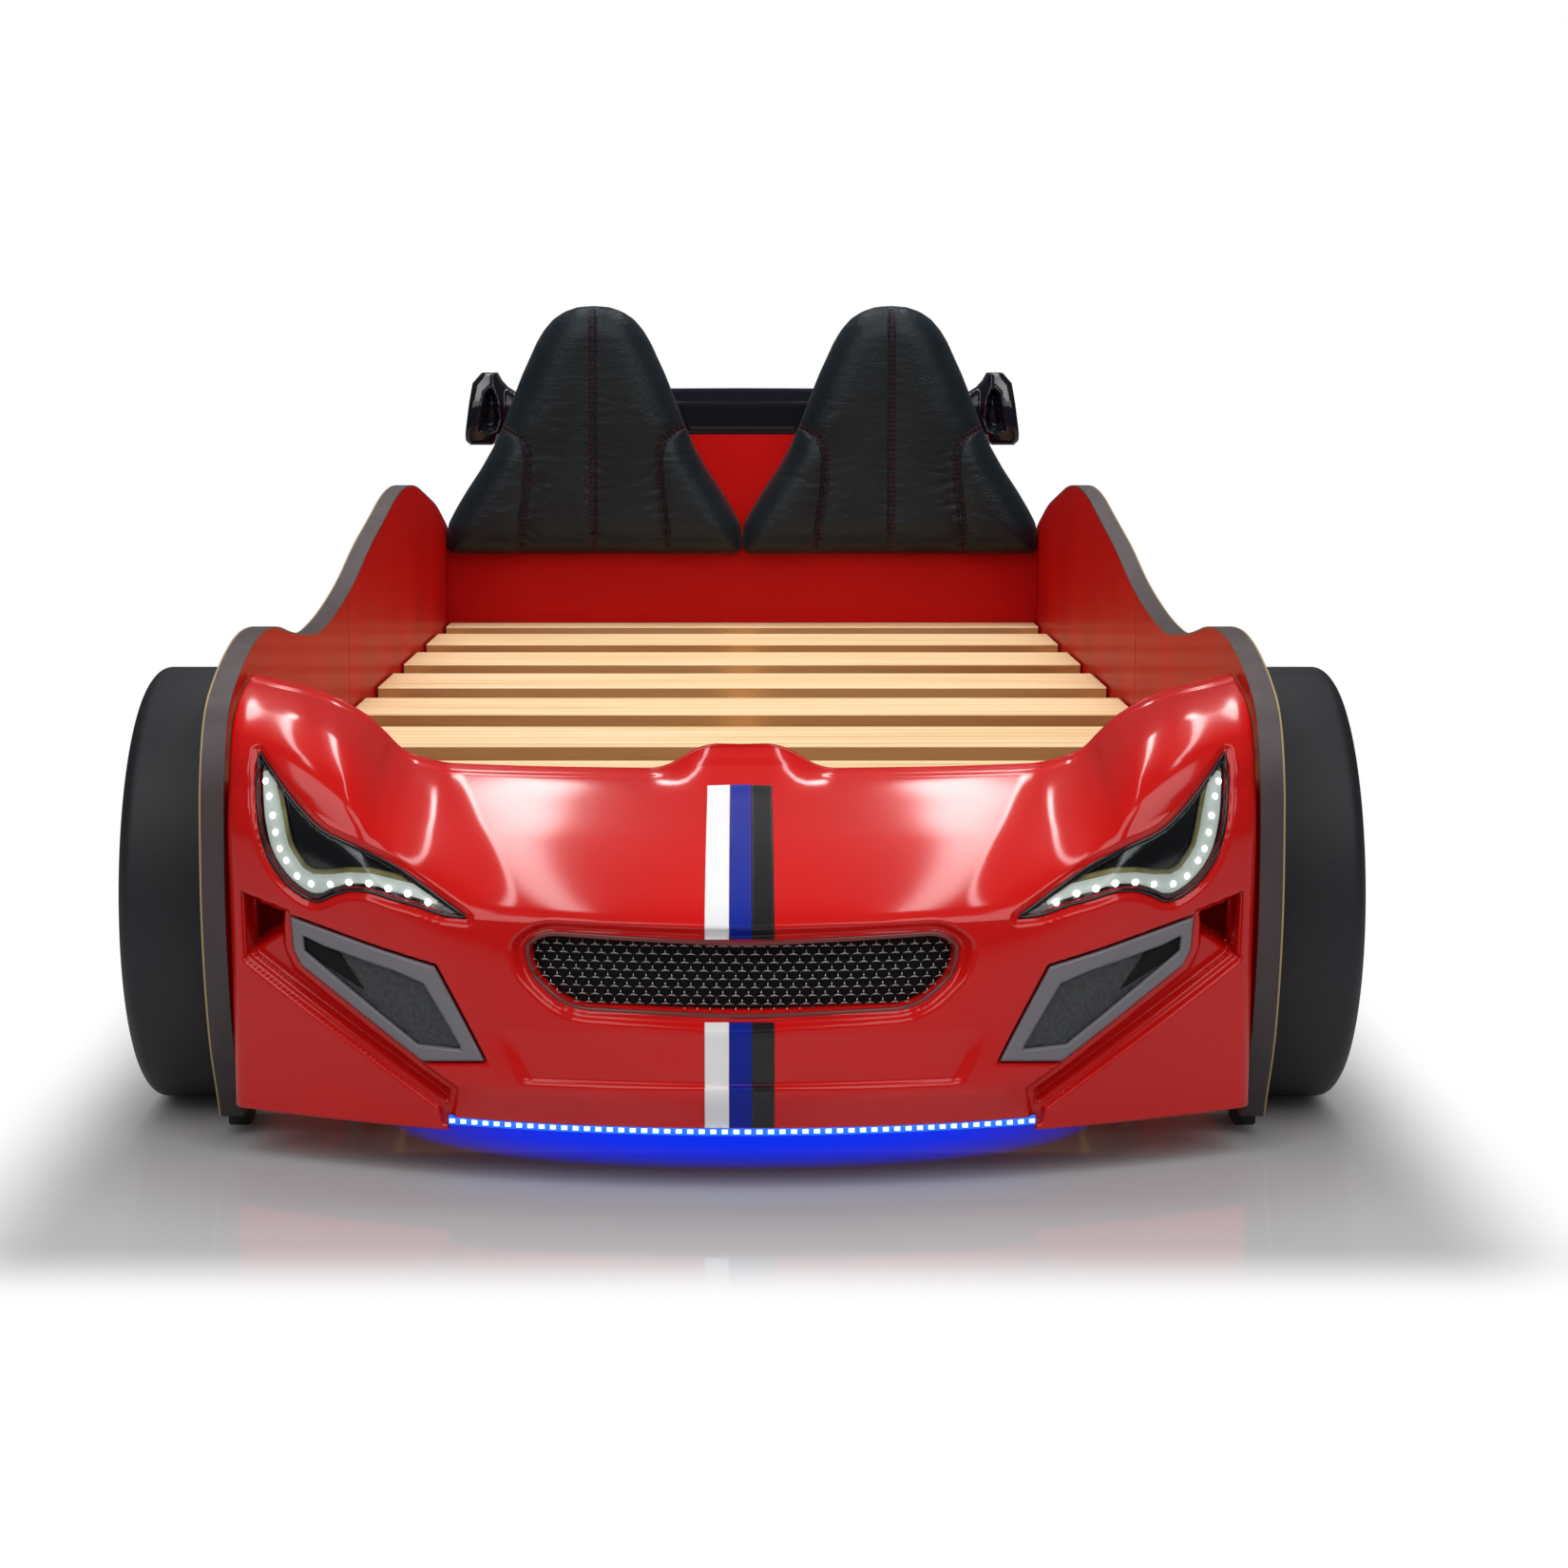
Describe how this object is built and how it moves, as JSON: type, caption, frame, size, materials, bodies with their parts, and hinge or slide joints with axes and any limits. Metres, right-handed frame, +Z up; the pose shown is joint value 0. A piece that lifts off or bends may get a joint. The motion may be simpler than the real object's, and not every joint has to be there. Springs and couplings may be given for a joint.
{
  "type": "children's car bed",
  "caption": "Single bed in the form of a sports car, with a moulded bumper, lamps, side boards with wheels, slats, two seat-back cushions and a rear wing",
  "frame": {"origin": "the middle of the bed's footprint, on the floor it stands on", "axes": "+Z up from the floor; +Y along the bed's length from the bumper at the foot towards the headboard; +X across the bed, to the right in a view from the bumper"},
  "size_m": [1.138, 2.329, 0.8],
  "materials": {
    "board": "red lacquered fibreboard",
    "edging": "satin plastic edging",
    "pine": "planed pine",
    "glide": "moulded, matte",
    "tyre": "fine grained, matte",
    "rim": "silver paint",
    "hub_cap": "gloss",
    "steel": "zinc plated",
    "electrics": "moulded, matte",
    "bumper": "gloss red, moulded",
    "grille": "satin black",
    "lamp_housing": "gloss black",
    "lamp_band": "white reflector",
    "led": "lit",
    "lamp_lens": "smoked clear",
    "fog_bezel": "satin grey",
    "fog_insert": "granular, dark",
    "strip_channel": "satin",
    "leatherette": "black leatherette",
    "wing": "gloss black"
  },
  "bodies": {
    "root": {"bracket_screws": "steel", "bumper": "bumper", "centre_beam": "pine", "centre_legs": "pine", "control_box": "electrics", "control_box_cover": "electrics", "corner_brackets": "steel", "edging_front_left": "edging", "edging_front_right": "edging", "edging_rear_left": "edging", "edging_rear_right": "edging", "floor_glides": "glide", "fog_bezels": "fog_bezel", "fog_inserts": "fog_insert", "front_board": "board", "grille": "grille", "headboard": "board", "headlight_bands": "lamp_band", "headlight_housings": "lamp_housing", "headlight_leds": "led", "headlight_lenses": "lamp_lens", "hub_caps": "hub_cap", "joint_bolts": "steel", "joint_plate_left": "steel", "joint_plate_right": "steel", "light_strip_channel": "strip_channel", "light_strip_leds": "led", "rims": "rim", "seat_cushion_left": "leatherette", "seat_cushion_right": "leatherette", "side_board_front_left": "board", "side_board_front_right": "board", "side_board_rear_left": "board", "side_board_rear_right": "board", "side_rail_left": "pine", "side_rail_right": "pine", "slat_1": "pine", "slat_2": "pine", "slat_3": "pine", "slat_4": "pine", "slat_5": "pine", "slat_6": "pine", "slat_7": "pine", "tyres": "tyre", "wheel_bolts": "steel", "wing": "wing", "wing_board": "board"}
  },
  "joints": []
}
